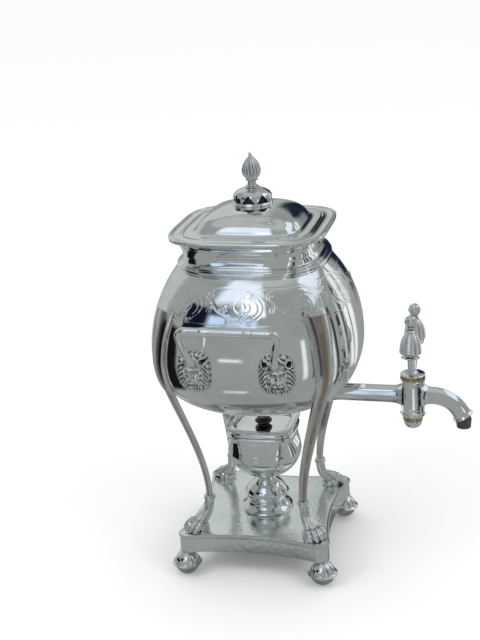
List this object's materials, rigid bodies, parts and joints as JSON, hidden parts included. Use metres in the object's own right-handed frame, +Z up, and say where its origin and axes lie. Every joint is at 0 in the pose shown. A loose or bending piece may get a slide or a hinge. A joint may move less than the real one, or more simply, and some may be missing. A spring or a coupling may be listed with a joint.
{
  "type": "tea urn",
  "caption": "Silver-plated hot-water urn: cushion body on four lion-paw strap legs, square plinth, lift-off lid, forked plug tap and a lift-out spirit lamp.",
  "frame": {"origin": "on the urn's upright axis, in the plane that the four ball feet rest on", "axes": "+Z up, +X towards the tap, the two handles on -Y and +Y"},
  "size_m": [0.2981, 0.2462, 0.4],
  "materials": {
    "silver_plate": "mirror polished silver plate",
    "worn_plate": "polished, copper showing through the worn silver",
    "brass": "bare brass",
    "ebony": "turned and polished ebony",
    "dark_ferrule": "dark turned drip nozzle",
    "cotton_wick": "plaited cotton"
  },
  "bodies": {
    "urn": {"plinth": "silver_plate", "plinth_bead": "silver_plate", "base_plate": "silver_plate", "foot_front_left": "silver_plate", "foot_front_right": "silver_plate", "foot_back_left": "silver_plate", "foot_back_right": "silver_plate", "paw_front_left": "silver_plate", "paw_front_right": "silver_plate", "paw_back_left": "silver_plate", "paw_back_right": "silver_plate", "paw_nuts": "brass", "leg_front_left": "worn_plate", "leg_front_right": "worn_plate", "leg_back_left": "worn_plate", "leg_back_right": "worn_plate", "body": "silver_plate", "shoulder": "silver_plate", "neck": "silver_plate", "neck_moulding": "silver_plate", "rim": "silver_plate", "rim_bead": "silver_plate", "handle_front": "silver_plate", "handle_back": "silver_plate", "mask_front_left": "silver_plate", "mask_front_right": "silver_plate", "mask_back_left": "silver_plate", "mask_back_right": "silver_plate", "handle_nuts": "brass", "tap_tube": "silver_plate", "tap_strainer": "silver_plate", "tap_barrel": "silver_plate", "barrel_ring": "brass", "spout": "silver_plate", "spout_nozzle": "dark_ferrule", "lamp_socket": "silver_plate"},
    "lid": {"lid": "silver_plate", "lid_bezel": "silver_plate", "vent_cap": "silver_plate", "finial": "silver_plate", "finial_nut": "brass"},
    "tap_key": {"tap_plug": "silver_plate", "tap_fork": "silver_plate", "key_bell_front": "silver_plate", "key_bell_back": "silver_plate", "key_ball_front": "silver_plate", "key_ball_back": "silver_plate", "tap_washer": "brass", "tap_nut": "silver_plate"},
    "lamp": {"lamp_foot": "silver_plate", "lamp_bowl": "silver_plate", "wick_tube": "brass", "wick": "cotton_wick"},
    "lamp_cover": {"lamp_cover": "silver_plate", "lamp_knob": "ebony"}
  },
  "joints": [
    {"name": "lid_lift", "type": "slide", "parent": "urn", "child": "lid", "axis": [0, 0, 1], "range_m": [0, 0.06]},
    {"name": "tap_key_turn", "type": "hinge", "parent": "urn", "child": "tap_key", "pos_m": [0.145, 0, 0.17], "axis": [0, 0, 1], "range_deg": [0, 90]},
    {"name": "lamp_lift", "type": "slide", "parent": "urn", "child": "lamp", "axis": [0, 0, 1], "range_m": [0, 0.0095]},
    {"name": "lamp_cover_lift", "type": "slide", "parent": "lamp", "child": "lamp_cover", "axis": [0, 0, 1], "range_m": [0, 0.007]}
  ]
}
